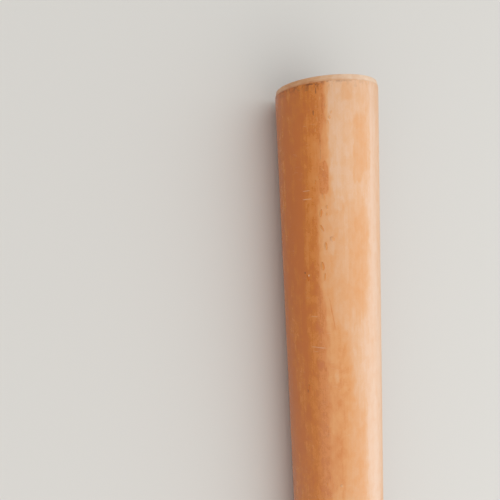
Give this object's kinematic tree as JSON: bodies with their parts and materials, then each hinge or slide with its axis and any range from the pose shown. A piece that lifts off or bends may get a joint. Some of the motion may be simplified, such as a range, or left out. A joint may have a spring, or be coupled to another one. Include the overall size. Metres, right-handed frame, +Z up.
{
  "type": "drain pipe",
  "caption": "Straight plain-ended terracotta plastic pipe for underground drains, with a bevelled spigot at each end.",
  "frame": {"origin": "on the pipe's axis, halfway along its length", "axes": "+X along the pipe, with the end that the picture shows at -X; +Z up as the pipe lies on the ground"},
  "size_m": [3, 0.11, 0.1096],
  "materials": {
    "pvc_wall": "satin"
  },
  "bodies": {
    "root": {"pipe": "pvc_wall"}
  },
  "joints": []
}
